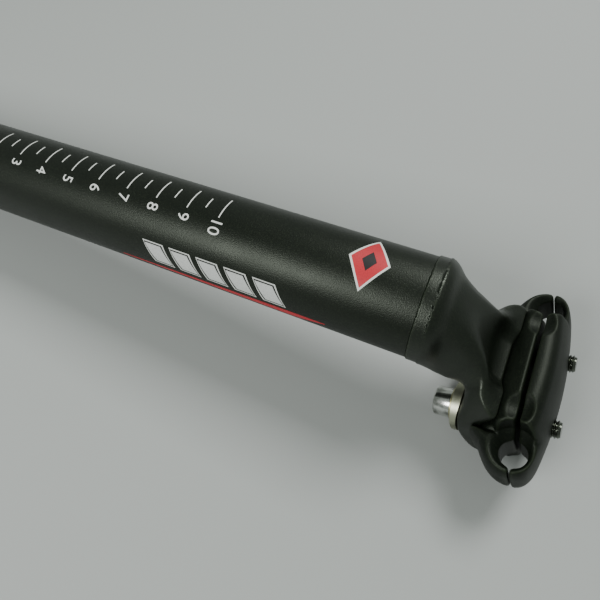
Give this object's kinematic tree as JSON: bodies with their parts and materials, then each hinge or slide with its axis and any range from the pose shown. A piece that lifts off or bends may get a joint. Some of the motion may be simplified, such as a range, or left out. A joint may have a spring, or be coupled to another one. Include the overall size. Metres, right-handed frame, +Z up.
{
  "type": "set-back seatpost",
  "caption": "Round bicycle seatpost with a set-back forged head, a tilting two-piece saddle rail clamp and side-by-side clamp bolts.",
  "frame": {"origin": "centre of the tube's lower end", "axes": "+Z up the tube towards the saddle, +X towards the front of the bicycle, +Y to the rider's left"},
  "size_m": [0.0518, 0.0558, 0.3],
  "materials": {
    "tube_anodised": null,
    "head_anodised": "satin black coating on a forged aluminium head",
    "clamp_anodised": "satin black coating on forged clamp halves",
    "bolt_plate": "bright plated steel",
    "flat_washer_plate": "yellow-tinted plated steel",
    "saddle_washer_metal": "plain plated steel"
  },
  "bodies": {
    "post": {"post_tube": "tube_anodised", "head": "head_anodised"},
    "clamp": {"lower_cradle": "clamp_anodised", "flat_washer_left": "flat_washer_plate", "flat_washer_right": "flat_washer_plate", "saddle_washer_left": "saddle_washer_metal", "saddle_washer_right": "saddle_washer_metal"},
    "cap": {"top_clamp": "clamp_anodised"},
    "bolt_left": {"clamp_bolt_left": "bolt_plate"},
    "bolt_right": {"clamp_bolt_right": "bolt_plate"}
  },
  "joints": [
    {"name": "clamp_tilt", "type": "hinge", "parent": "post", "child": "clamp", "pos_m": [-0.02023, 0, 0.29861], "axis": [0, 1, 0], "range_deg": [-10, 10]},
    {"name": "cap_lift", "type": "slide", "parent": "clamp", "child": "cap", "axis": [0.309, 0, 0.9511], "range_m": [0, 0.004]},
    {"name": "bolt_left_turn", "type": "hinge", "parent": "clamp", "child": "bolt_left", "pos_m": [-0.0227, 0.01, 0.291], "axis": [0.309, 0, 0.9511], "range_deg": [-1801, 0]},
    {"name": "bolt_right_turn", "type": "hinge", "parent": "clamp", "child": "bolt_right", "pos_m": [-0.0227, -0.01, 0.291], "axis": [0.309, 0, 0.9511], "range_deg": [-1801, 0]}
  ],
  "couplings": [
    {"joint": "bolt_left_turn", "follows": "cap_lift", "rad_per_m": -7854},
    {"joint": "bolt_right_turn", "follows": "cap_lift", "rad_per_m": -7854}
  ]
}
